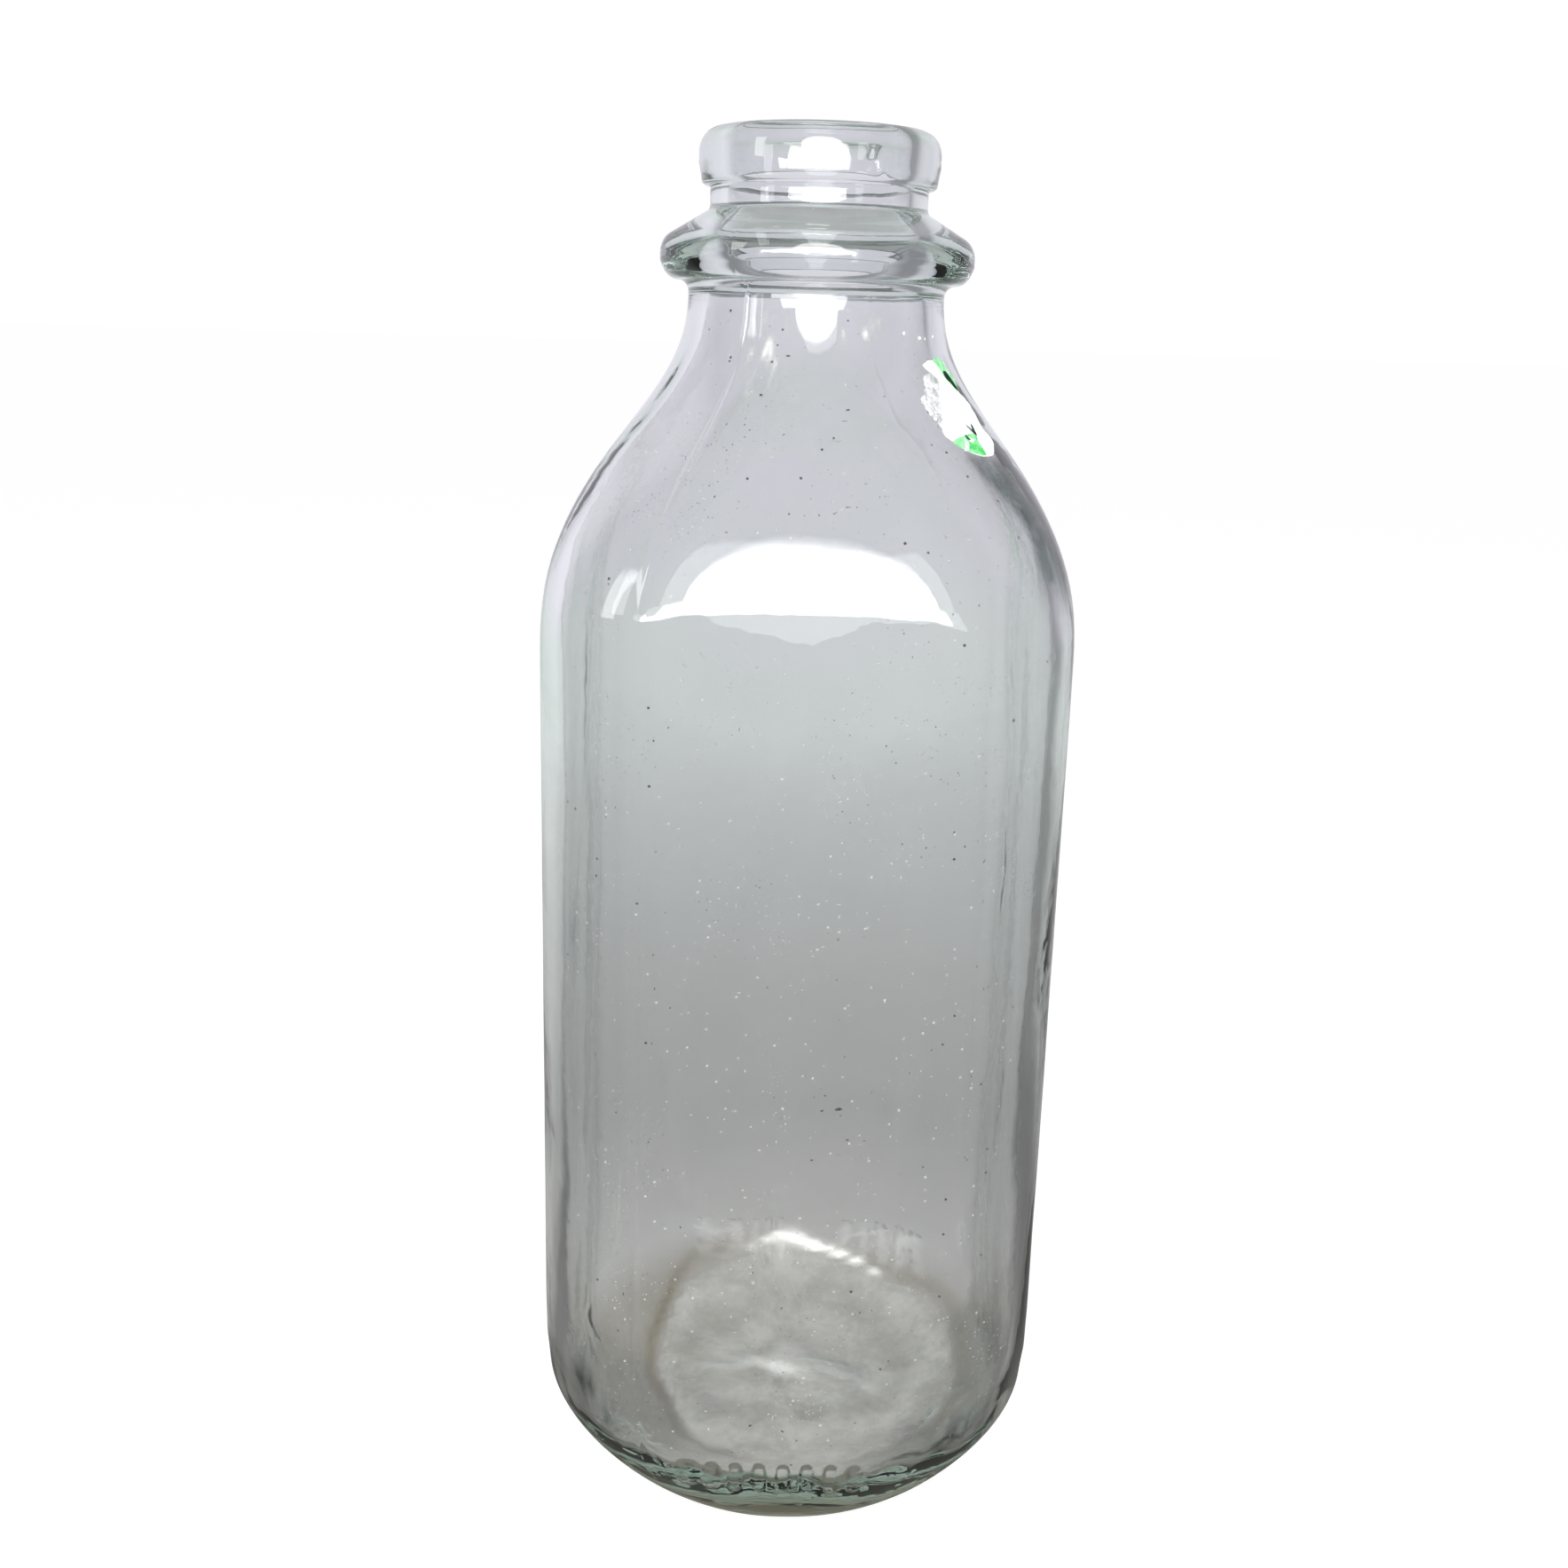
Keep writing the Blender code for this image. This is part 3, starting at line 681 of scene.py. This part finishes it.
def film_thickness(points):
    """How much film lies where, how brown, how much painted dark reflection, and how much painted glint: four
    shares.
    """
    across, back, up = points[..., 0], points[..., 1], points[..., 2]
    turn = np.arctan2(across, -back)
    edge, disc_turn, wander = disc_edge(points)
    on_floor = smooth((30 - up) / 8)
    in_front = smooth((-back - 5) / 20) * near(turn, 0.0, 0.62)
    ringed = 0.5 + 0.5 * np.sin(ring_distance(points, wander) / 2.3 + 0.8 * np.sin(3 * disc_turn))
    on_disc = smooth(edge / 3) * (0.22 + 0.20 * ringed) * (1 - in_front)
    smear_and_glint = on_floor * hump(across, -1, 9) * hump(back + 0.3 * across, 8, 3.0)
    brown = on_floor * hump(edge, -0.8, 1.6) * (0.35 + 0.65 * near(disc_turn, -2.0, 0.8))
    painted_dark = painted_dark_share(turn, across, up)
    rubbed_ply_and_neck_streaks = painted_neck_streaks(turn, up)
    # Painted glints: the far edge of the disc, the beads behind, the smear and the neck streaks give off
    # light as emission.
    far_edge_glint = smooth((60 - up) / 10) * near(disc_turn, np.pi - 0.1, 0.55) * hump(edge, 0.6, 0.7)
    bead_glint = 0.22 * bead_relief(points, BACK_BEADS, -1) / BEAD_PROUD
    glint = np.maximum(far_edge_glint, bead_glint) + 0.25 * smear_and_glint + 0.5 * rubbed_ply_and_neck_streaks
    level = 0.02 + 0.03 * smooth((48 - up) / 30) + 0.02 * hump(up, 190, 18)
    level = level + on_floor * (0.14 + 0.42 * in_front + on_disc) + 0.5 * smear_and_glint + 0.7 * rubbed_ply_and_neck_streaks
    for share, cover in ((brown, 0.45), (painted_dark, 0.95), (glint, 1.1)):
        level = np.maximum(level, cover * share)
    return level, brown, painted_dark, glint


FILM_TOP, FILM_GAP, FILM_THICK = 262.0, 0.10, 0.04      # millimetres
lining = glass_points[len(outside):]
lining = lining[lining[:, :, 2].mean(axis=1) < FILM_TOP]
lining = lining + FILM_GAP * grid_normals(lining)
film_rings = np.concatenate([lining[::-1], lining + FILM_THICK * grid_normals(lining)])
film = closed_round("haze_film", film_rings, film_material)
film_shares = film_thickness(film_rings)
for share_name, values in zip(("haze", "stain", "painted_dark", "glint"), film_shares):
    lay_values(film, share_name, values)
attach(film, "root")
most = [round(float(share.max()), 2) for share in film_shares]
print("film faces:", len(film.data.polygons), "most:", most)

# %% [markdown]
# ## The torn sticker
# Someone has scraped a paper sticker off the right shoulder. The white inner ply is left, rubbed thin
# along its left side, with two scraps of the green printed face and a few dark torn strokes on it.
# Every scrap is a closed leaf on the glass: a left and a right edge at each height, both ragged.

# %% Leaves on the shoulder
shoulder_curve = shoulder(200)


def on_glass(turn, height, lift):
    """Points on the shoulder at a turn in degrees and a height in millimetres, lifted off the glass."""
    def surface(turn, height):
        half = np.interp(height, shoulder_curve[:, 1], shoulder_curve[:, 0])
        corner = half * (OUTER_RATIO + (1 - OUTER_RATIO) * roundness(height))
        reach = plan_reach(half, corner, turn)
        return np.stack([reach * np.sin(turn), -reach * np.cos(turn), height + 0 * reach], axis=-1)

    turn = np.radians(turn)
    here = surface(turn, height)
    normal = np.cross(surface(turn + 0.004, height) - here, surface(turn, height + 0.1) - here)
    normal /= np.linalg.norm(normal, axis=-1, keepdims=True)
    return here + normal * np.asarray(lift)[..., None]


def leaf_rings(rows, lift, thick, ragged, seed, count=110, columns=44):
    """Rings round a flat leaf, low to high: out along its face and back along its underside."""
    rows = np.array(rows)
    high = np.linspace(rows[0, 0], rows[-1, 0], count)
    edges = [np.interp(high, rows[:, 0], rows[:, side]) for side in (1, 2)]
    for side in (0, 1):
        edges[side] = edges[side] + 0.5 * ragged * waves(high, 0 * high, seed + side, (0.5, 4.0), 9)
    share = np.linspace(0.0, 1.0, columns)[None, :]
    turn = edges[0][:, None] * (1 - share) + edges[1][:, None] * share
    width = np.abs(edges[1] - edges[0])[:, None] * 0.55
    along = np.minimum(high - high[0], high[-1] - high)[:, None]
    cover = np.minimum(np.minimum(share, 1 - share) * width, along)
    high = np.broadcast_to(high[:, None], turn.shape)
    crumple = 0.06 * waves(turn * 0.55, high, seed + 7, (1.2, 5.0))
    face = on_glass(turn, high, lift + thick * smooth(0.15 + cover / 0.3) + crumple * smooth(cover))
    under = on_glass(turn, high, lift + 0 * turn)
    points = np.concatenate([face, under[:, ::-1]], axis=1)
    return points, np.concatenate([cover, cover[:, ::-1]], axis=1)


def leaf(name, rows, lift, thick, ragged, seed, material):
    """A torn scrap of paper as a closed skin, with how far in from its edge each point is."""
    points, cover = leaf_rings(rows, lift, thick, ragged, seed)
    thing = closed_round(name, points, material)
    lay_values(thing, "cover", cover)
    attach(thing, "root")
    return thing


print("shoulder at 245 mm:", on_glass(np.array([50.0]), np.array([245.0]), 0.0).round(1).tolist())

# %% [markdown]
# ## Torn paper
# Paper and print tear the same way, so one group of nodes works out the effect for every ply: two
# tones in blotches, fibres in relief, and an alpha that frays in from the edge and wears thin. Each
# material places it with its own tones, its own fray and its own thinness.

# %% The torn paper group
def torn_paper_group():
    """Place and cover in; tone, fibres, dryness and alpha out."""
    group = bpy.data.node_groups.new("torn_paper", "ShaderNodeTree")
    taken = (("Place", "Vector"), ("Cover", "Float"), ("Tone A", "Color"), ("Tone B", "Color"),
             ("Fray", "Float"), ("Thinnest", "Float"), ("Thickest", "Float"))
    given = (("Tone", "Color"), ("Fibres", "Float"), ("Dryness", "Float"), ("Alpha", "Float"))
    for name, kind in taken:
        group.interface.new_socket(name, in_out="INPUT", socket_type="NodeSocket" + kind)
    for name, kind in given:
        group.interface.new_socket(name, in_out="OUTPUT", socket_type="NodeSocket" + kind)
    inlet = group.nodes.new("NodeGroupInput").outputs
    blotches = ranged(group, noise(group, inlet["Place"], 420.0, 4.0, 0.6), 0.40, 0.62)
    lean = placed(group, "ShaderNodeMapping", {
        "Vector": inlet["Place"], "Rotation": (0.5, 0.3, 0.0), "Scale": (1.0, 1.0, 0.25),
    })
    fibres = noise(group, lean.outputs["Vector"], 1500.0, 6.0, 0.7)
    torn = noise(group, inlet["Place"], 900.0, 5.0, 0.7)
    raised = maths(group, "MULTIPLY_ADD", torn, inlet["Fray"], inlet["Cover"])
    edge_start = maths(group, "MULTIPLY", inlet["Fray"], 0.5)
    edge = ranged(group, raised, edge_start, maths(group, "ADD", edge_start, 0.12))
    worn = noise(group, inlet["Place"], 480.0, 10.0, 0.80)
    left = ranged(group, worn, 0.36, 0.62, inlet["Thinnest"], inlet["Thickest"])
    placed(group, "NodeGroupOutput", {
        "Tone": mixed(group, blotches, inlet["Tone A"], inlet["Tone B"]), "Fibres": fibres,
        "Dryness": ranged(group, fibres, 0.3, 0.7, 0.65, 0.95), "Alpha": maths(group, "MULTIPLY", edge, left),
    })
    return group


torn_paper = torn_paper_group()
print("torn paper group:", len(torn_paper.nodes), "nodes")

# %% Paper and print materials
WHITE, GREY_WHITE, INK = (0.95, 0.96, 0.94), (0.89, 0.91, 0.89), (0.006, 0.020, 0.014)
GREEN, PALE_GREEN, DARK_GREEN = (0.075, 0.60, 0.13), (0.34, 0.78, 0.40), (0.010, 0.045, 0.028)
PAPER_PAINTED_GLOW = 0.15                    # a painted glow: a share of its tone given off as emission, in place of light coming through from behind


def paper_material(name, tones, fray, thinness):
    """A matt ply that gives off a painted glow of its tone: its tones, how far in it frays, and its thinnest
    and thickest alpha.
    """
    material, tree, out = new_material(name)
    torn = tree.nodes.new("ShaderNodeGroup")
    torn.node_tree = torn_paper
    values = {
        "Place": object_place(tree), "Cover": laid(tree, "cover"), "Tone A": tones[0], "Tone B": tones[1],
        "Fray": fray, "Thinnest": thinness[0], "Thickest": thinness[1],
    }
    for socket, value in values.items():
        feed(tree, torn.inputs[socket], value)
    relief = placed(tree, "ShaderNodeBump", {
        "Strength": 0.6, "Distance": 0.0002, "Height": torn.outputs["Fibres"],
    })
    look = placed(tree, "ShaderNodeBsdfPrincipled", {
        "Specular IOR Level": 0.25, "Base Color": torn.outputs["Tone"], "Roughness": torn.outputs["Dryness"],
        "Normal": relief.outputs["Normal"], "Alpha": torn.outputs["Alpha"],
        "Emission Color": torn.outputs["Tone"], "Emission Strength": PAPER_PAINTED_GLOW,
    })
    feed(tree, out.inputs["Surface"], look.outputs["BSDF"])
    return material


paper_look = paper_material("white_ply", (GREY_WHITE, WHITE), 0.5, (1.0, 1.0))
rubbed_look = paper_material("rubbed_ply", (GREY_WHITE, WHITE), 1.2, (0.0, 0.62))
green_look = paper_material("green_face", (PALE_GREEN, GREEN), 0.5, (1.0, 1.0))
pale_look = paper_material("green_fringe", (WHITE, PALE_GREEN), 0.7, (0.55, 1.0))
ink_look = paper_material("dark_ink", (DARK_GREEN, INK), 0.15, (1.0, 1.0))
print("paper materials:", [look.name for look in (paper_look, rubbed_look, green_look, pale_look, ink_look)])

# %% [markdown]
# ## What is left of the sticker
# Each scrap is a short list of heights with its left and right edge at each. The rubbed ply lies
# lowest and the white ply over it, then the green face, with the torn ridge and the dark strokes on
# top. Crumbs of paper, round and a fraction of a millimetre wide, still cling to the glass near it.

# %% Outlines of the scraps
PAPER_EDGES = (         # height in millimetres, then left and right edge in degrees of turn
    (234.2, 51.0, 54.5), (234.7, 47.5, 56.5), (235.4, 44.6, 59.0), (236.2, 42.4, 61.4), (237.1, 40.8, 62.6),
    (238.0, 39.7, 62.2), (239.0, 39.8, 62.0), (240.2, 41.0, 62.7), (241.7, 43.8, 64.0), (243.5, 45.8, 65.0),
    (244.7, 46.4, 64.3), (245.5, 48.8, 62.6), (246.7, 50.5, 62.8), (248.1, 51.9, 63.4), (249.2, 49.6, 61.5),
    (250.0, 46.9, 58.5), (250.9, 45.7, 55.5), (251.7, 49.4, 53.4), (251.9, 51.0, 52.5),
)
RUBBED_EDGES = (
    (239.6, 40.5, 42.5), (240.6, 39.6, 44.5), (241.8, 38.8, 47.5), (243.2, 38.2, 48.5), (244.6, 37.6, 49.5),
    (245.6, 40.0, 51.5), (247.0, 42.8, 53.0), (248.4, 43.6, 53.0), (249.4, 45.0, 50.5),
)
TOP_GREEN_EDGES = (
    (245.9, 61.2, 62.0), (246.5, 59.9, 62.6), (247.3, 58.3, 62.9), (248.3, 56.7, 62.2), (249.3, 55.7, 60.6),
    (250.4, 54.9, 60.2), (251.2, 54.0, 60.6), (251.9, 53.2, 59.6), (252.2, 55.2, 57.5),
)
FRINGE_EDGES = (
    (246.2, 62.0, 63.2), (247.3, 62.2, 64.3), (248.4, 61.8, 65.2), (249.4, 60.2, 64.4), (250.4, 59.6, 62.9),
    (251.2, 59.8, 62.4), (251.6, 60.4, 61.8),
)
BOTTOM_GREEN_EDGES = (
    (234.4, 49.4, 51.6), (234.9, 46.8, 52.0), (235.6, 43.6, 52.0), (236.4, 41.9, 52.3), (237.1, 41.0, 52.8),
    (237.7, 44.4, 53.4), (238.1, 48.6, 53.0), (238.3, 50.4, 52.2),
)
RIDGE_EDGES = ((235.2, 43.0, 44.6), (235.9, 44.6, 46.4), (236.7, 45.4, 46.8), (237.5, 45.8, 46.5))
INK_EDGES = (
    ((245.8, 60.9, 61.5), (246.6, 59.6, 61.6), (247.5, 58.2, 61.5), (248.3, 56.7, 60.8),
     (249.1, 56.5, 59.8), (249.7, 57.0, 58.8)),
    ((237.8, 53.0, 53.7), (238.4, 52.5, 53.7), (239.1, 52.1, 53.0), (239.9, 51.5, 51.9)),
    ((238.0, 53.1, 53.9), (238.8, 53.2, 54.4), (239.4, 54.0, 54.9), (240.0, 54.7, 55.1)),
    ((237.1, 48.0, 49.0), (237.5, 47.6, 48.8), (238.1, 47.7, 48.2)),
)
print("rows in the white ply's outline:", len(PAPER_EDGES))

# %% Scraps and strokes
paper = leaf("white_paper_left", PAPER_EDGES, 0.10, 0.16, 0.5, 41, paper_look)
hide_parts("sticker_paper")
rubbed_ply_and_neck_streaks = leaf("rubbed_paper_left", RUBBED_EDGES, 0.05, 0.04, 0.8, 43, rubbed_look)
top_green = leaf("green_scrap_top", TOP_GREEN_EDGES, 0.30, 0.06, 0.35, 47, green_look)
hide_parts("sticker_print_top")
fringe = leaf("green_scrap_fringe", FRINGE_EDGES, 0.14, 0.10, 0.6, 53, pale_look)
bottom_green = leaf("green_scrap_bottom", BOTTOM_GREEN_EDGES, 0.30, 0.06, 0.35, 59, green_look)
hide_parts("sticker_print_bottom")
ridge = leaf("torn_ridge", RIDGE_EDGES, 0.40, 0.10, 0.5, 61, pale_look)
for number, edges in enumerate(INK_EDGES):
    stroke = leaf(f"ink_scrap_{number + 1}", edges, 0.40, 0.05, 0.25, 67 + number, ink_look)
print("scraps and strokes:", 6 + len(INK_EDGES))

# %% Crumbs
CRUMBS = (              # turn in degrees, height and size in millimetres
    (48.4, 256.0, 0.42), (52.1, 255.8, 0.28), (58.6, 256.3, 0.30), (39.3, 256.8, 0.34), (44.6, 248.4, 0.34),
    (39.4, 244.4, 0.26), (39.9, 241.2, 0.30), (41.6, 242.4, 0.22), (38.6, 243.0, 0.20), (43.2, 247.2, 0.18),
)
CRUMB_STEPS = (-0.98, -0.7, -0.3, 0.1, 0.5, 0.8, 0.98)     # heights, as shares of its size
MM_PER_DEGREE = 0.5                         # along the glass, at the sticker


def round_edges(turn, high, size):
    """A round crumb's rows: sqrt(1 - step^2) wide at each step up."""
    rows = []
    for step in CRUMB_STEPS:
        wide = size / MM_PER_DEGREE * math.sqrt(1 - step * step)
        rows.append((high + size * step, turn - wide, turn + wide))
    return rows


for number, (turn, high, size) in enumerate(CRUMBS):
    edges = round_edges(turn, high, size)
    points, cover = leaf_rings(edges, 0.04, 0.5 * size, 0.12, 90 + number, 14, 10)
    crumb = closed_round(f"paper_crumb_{number + 1}", points, paper_look)
    lay_values(crumb, "cover", cover + 1.0)
    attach(crumb, "root")
print("crumbs:", len(CRUMBS))

# %% [markdown]
# ## The studio
# A pale floor and pale surroundings. One broad window stands in front, a little to the left, and a
# narrower one further round to the left. They aren't seen directly, only in the glass.

# %% Light paths and the studio's tone
scene = bpy.context.scene
scene.view_settings.view_transform = "Standard"
scene.cycles.max_bounces = 20
scene.cycles.transmission_bounces = 20
scene.cycles.glossy_bounces = 10
scene.cycles.sample_clamp_indirect = 4.0
# turn of a direction, from 0 straight in front through 0.5 straight behind to 1, and how bright it is
STUDIO_ROUND = (
    (0.0, 0.72), (0.10, 0.75), (0.17, 0.42), (0.21, 0.42), (0.25, 0.52), (0.27, 0.42), (0.30, 0.38),
    (0.33, 1.0), (0.36, 1.15), (0.42, 1.0), (0.59, 1.0), (0.62, 0.88), (0.65, 0.42), (0.70, 0.40),
    (0.75, 0.66), (0.79, 0.42), (0.83, 0.40), (0.90, 0.75), (1.0, 0.72),
)


def tone_group():
    """How bright the studio is in a direction: paler behind and beside the bottle, darker between."""
    group = bpy.data.node_groups.new("studio_tone", "ShaderNodeTree")
    group.interface.new_socket("Direction", in_out="INPUT", socket_type="NodeSocketVector")
    group.interface.new_socket("Tone", in_out="OUTPUT", socket_type="NodeSocketColor")
    inlet = group.nodes.new("NodeGroupInput").outputs
    split = placed(group, "ShaderNodeSeparateXYZ", {"Vector": inlet["Direction"]})
    angle = maths(group, "ARCTAN2", split.outputs["X"], split.outputs["Y"])
    share = placed(group, "ShaderNodeMapRange", {"Value": angle, "From Min": -math.pi, "From Max": math.pi})
    ramp = placed(group, "ShaderNodeValToRGB", {"Fac": share.outputs["Result"]})
    set_ramp(ramp, STUDIO_ROUND)
    placed(group, "NodeGroupOutput", {"Tone": ramp.outputs["Color"]})
    return group


studio_tone = tone_group()


def toned(tree, direction, colour):
    """A colour times the studio's tone in a direction."""
    around = tree.nodes.new("ShaderNodeGroup")
    around.node_tree = studio_tone
    feed(tree, around.inputs["Direction"], direction)
    return mixed(tree, 1.0, colour, around.outputs["Tone"], "MULTIPLY")


def by_ray(tree, seen_in_glass, seen_plainly, out):
    """One look for what the glass bends or mirrors, another for what is seen past it."""
    ray = tree.nodes.new("ShaderNodeLightPath")
    choice = placed(tree, "ShaderNodeMixShader", {"Fac": ray.outputs["Is Camera Ray"]})
    feed(tree, choice.inputs[1], seen_in_glass)
    feed(tree, choice.inputs[2], seen_plainly)
    feed(tree, out.inputs["Surface"], choice.outputs[0])


print("tones round the studio:", len(STUDIO_ROUND))

# %% Floor
FLOOR_SPAN, FLOOR_DROP, FLOOR_TONED_TO = 20.0, 0.0002, 3.0      # metres
FLOOR_TONES = (             # share of the toned reach, and colour: a painted shadow of the bottle, dark close by and paler far away
    (0.0, (0.27, 0.25, 0.19)), (0.012, (0.28, 0.27, 0.22)), (0.03, (0.54, 0.535, 0.52)),
    (0.06, (0.44, 0.435, 0.43)), (0.28, (0.77, 0.81, 0.80)), (1.0, (0.86, 0.84, 0.91)),
)
FLOOR_GREY, FLOOR_GLOW = (0.42, 0.42, 0.42), 0.74


def pale_floor():
    """Glowing with a painted shadow and the studio's tone where the glass shows it, and plain pale grey with
    the bottle's soft shadow elsewhere.
    """
    material, tree, out = new_material("pale_floor")
    place = object_place(tree)
    away = tree.nodes.new("ShaderNodeVectorMath")
    away.operation = "LENGTH"
    feed(tree, away.inputs[0], place)
    reach = placed(tree, "ShaderNodeMapRange", {"Value": away.outputs["Value"], "From Max": FLOOR_TONED_TO})
    ramp = placed(tree, "ShaderNodeValToRGB", {"Fac": reach.outputs["Result"]})
    set_ramp(ramp, FLOOR_TONES)
    in_glass = placed(tree, "ShaderNodeEmission", {"Color": toned(tree, place, ramp.outputs["Color"])})
    glow = placed(tree, "ShaderNodeEmission", {"Strength": FLOOR_GLOW})
    matt = placed(tree, "ShaderNodeBsdfPrincipled", {
        "Base Color": FLOOR_GREY, "Roughness": 1.0, "Specular IOR Level": 0.0,
    })
    plain = tree.nodes.new("ShaderNodeAddShader")
    feed(tree, plain.inputs[0], glow.outputs[0])
    feed(tree, plain.inputs[1], matt.outputs["BSDF"])
    by_ray(tree, in_glass.outputs[0], plain.outputs[0], out)
    return material


corners = [(x * FLOOR_SPAN, y * FLOOR_SPAN, -FLOOR_DROP) for x, y in ((-1, -1), (1, -1), (1, 1), (-1, 1))]
floor_data = bpy.data.meshes.new("floor")
floor_data.from_pydata(corners, [], [(0, 1, 2, 3)])
floor_data.materials.append(pale_floor())
floor = bpy.data.objects.new("floor", floor_data)
scene.collection.objects.link(floor)
print("floor:", 2 * FLOOR_SPAN, "metres across")

# %% Surroundings
SEEN_WHITE, SEEN_IN_GLASS = (1.02, 1.02, 1.02), (0.86, 0.84, 0.91)

world = bpy.data.worlds.new("pale_studio")
scene.world = world
world.use_nodes = True
tree = world.node_tree
plain = tree.nodes["Background"]
feed(tree, plain.inputs["Color"], SEEN_WHITE)
heading = tree.nodes.new("ShaderNodeTexCoord").outputs["Generated"]
in_glass = placed(tree, "ShaderNodeBackground", {"Color": toned(tree, heading, SEEN_IN_GLASS)})
by_ray(tree, in_glass.outputs[0], plain.outputs[0], tree.nodes["World Output"])
print("surroundings:", world.name)

# %% [markdown]
# ## The windows
# Each window is a pane of light on a sphere round the bottle's neck, so its place is a turn and a
# height in degrees. Its light fades at its sides and towards its head, and the front window's head
# is an arch on a ledge. The panes give the tall highlights on the neck and the arch on the shoulder.

# %% Window panes
WINDOW_AWAY, WINDOW_MIDDLE = 0.9, 0.262      # metres
SIDE_FADE, HEAD_FADE = 2.0, 0.25             # degrees, and a share of the height


def window_light(name):
    """Light as strong as the pane's glow attribute says."""
    material, tree, out = new_material(name + "_light")
    glow = placed(tree, "ShaderNodeEmission", {"Strength": laid(tree, "glow")})
    feed(tree, out.inputs["Surface"], glow.outputs[0])
    return material


def window(name, turns, sill, head, brightness):
    """A pane from sill to head degrees up, between two turns, its light fading to its sides and head."""
    across = np.linspace(turns[0], turns[1], 90)
    share = np.linspace(0.0, 1.0, 25)[:, None]
    up = np.radians((1 - share) * sill + share * head(across))
    turn = np.radians(np.broadcast_to(across, up.shape))
    points = np.stack([np.sin(turn) * np.cos(up), -np.cos(turn) * np.cos(up), np.sin(up)], axis=2)
    points = points * WINDOW_AWAY + np.array([0.0, 0.0, WINDOW_MIDDLE])
    index = np.arange(points.shape[0] * points.shape[1]).reshape(points.shape[:2])
    quads = np.stack([index[:-1, :-1], index[:-1, 1:], index[1:, 1:], index[1:, :-1]], axis=2)
    data = bpy.data.meshes.new(name)
    data.from_pydata(points.reshape(-1, 3).tolist(), [], quads.reshape(-1, 4).tolist())
    side = between(across, turns[0], SIDE_FADE, turns[1], SIDE_FADE)
    fade = smooth((1 - share) / HEAD_FADE) * side * brightness
    data.attributes.new("glow", "FLOAT", "POINT").data.foreach_set("value", fade.ravel().astype(np.float32))
    data.materials.append(window_light(name))
    pane = bpy.data.objects.new(name, data)
    scene.collection.objects.link(pane)
    pane.visible_camera = False
    return pane


def arched(turn):
    """The head of the front window: 5 degrees at its sides, a ledge at 10, and a dome up to 38."""
    ledge = 5.0 + 5.0 * between(turn, -33, 4, 27, 4)
    return ledge + 28.0 * np.sqrt(np.maximum(1 - ((turn - 1.0) / 18.5) ** 2, 0.0))


def straight(turn):
    """The head of the left window: 31 degrees up all along."""
    return 31.0 + 0 * turn


window("front_window", (-42.0, 28.0), 2.5, arched, 12.0)
window("left_window", (-66.0, -53.0), 3.5, straight, 6.0)
print("windows hung: front and left")
